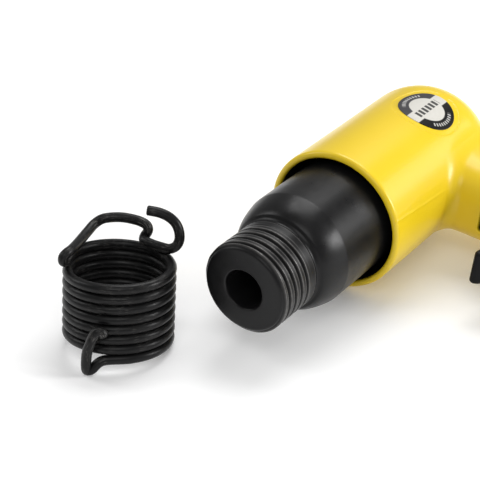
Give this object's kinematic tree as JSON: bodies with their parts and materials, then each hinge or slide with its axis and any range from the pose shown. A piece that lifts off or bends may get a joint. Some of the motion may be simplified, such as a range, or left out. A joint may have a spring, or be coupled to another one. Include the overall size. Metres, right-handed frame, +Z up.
{
  "type": "pneumatic air hammer",
  "caption": "Pistol-grip pneumatic air hammer lying on its side, with its coiled retaining spring taken off and standing beside the threaded nose.",
  "frame": {"origin": "centre of the base of the bounding box, on the surface that the hammer lies on", "axes": "+Z up from the surface, -Y the way the barrel points, +X roughly down the handle"},
  "size_m": [0.1778, 0.1818, 0.0525],
  "materials": {
    "yellow_paint": "glossy yellow paint on an aluminium casting",
    "black_oxide_steel": "satin black oxide",
    "bright_steel": "ground",
    "brass": "machined",
    "black_rubber": "matt",
    "black_plastic": "satin",
    "label_film": "printed film"
  },
  "bodies": {
    "tool": {"housing": "yellow_paint", "barrel": "black_oxide_steel", "valve_seat_plate": "bright_steel", "valve_block": "bright_steel", "valve_dowel": "bright_steel", "valve_gasket": "black_rubber", "lock_plunger": "bright_steel", "lock_spring": "bright_steel", "trigger_pin": "black_oxide_steel", "throttle_bushing": "brass", "stem_o_ring": "black_rubber", "throttle_spring": "bright_steel", "inlet_bushing": "black_oxide_steel", "inlet_washer": "black_rubber", "inlet_screen": "brass", "side_label": "label_film"},
    "piston": {"piston": "bright_steel"},
    "valve_disc": {"valve_disc": "bright_steel"},
    "trigger": {"trigger": "black_plastic"},
    "throttle_valve": {"throttle_stem": "bright_steel", "throttle_seal": "black_rubber"},
    "regulator": {"regulator_screw": "black_oxide_steel", "regulator_o_ring": "black_rubber"},
    "retainer_spring": {"retainer_spring": "black_oxide_steel"}
  },
  "joints": [
    {"name": "trigger_pivot", "type": "hinge", "parent": "tool", "child": "trigger", "pos_m": [0.01619, 0.04969, 0.02051], "axis": [0.1193, 0, 0.9929], "range_deg": [0, 9], "stiffness_Nm_per_rad": 0.4, "springref_deg": -6.88},
    {"name": "throttle_slide", "type": "slide", "parent": "tool", "child": "throttle_valve", "axis": [0, 1, 0], "range_m": [0, 0.0026], "deforming": ["throttle_spring"]},
    {"name": "piston_stroke", "type": "slide", "parent": "tool", "child": "piston", "axis": [0, -1, 0], "range_m": [0, 0.041]},
    {"name": "valve_disc_lift", "type": "slide", "parent": "tool", "child": "valve_disc", "axis": [0, 1, 0], "range_m": [0, 0.0009]},
    {"name": "regulator_turn", "type": "hinge", "parent": "tool", "child": "regulator", "pos_m": [0.05988, 0.07969, 0.01526], "axis": [0, 1, 0], "range_deg": [0, 180]},
    {"name": "retainer_lift", "type": "slide", "parent": "tool", "child": "retainer_spring", "axis": [0, 0, 1], "range_m": [0, 0.15]}
  ],
  "couplings": [
    {"joint": "throttle_slide", "follows": "trigger_pivot", "m_per_rad": 0.016}
  ]
}
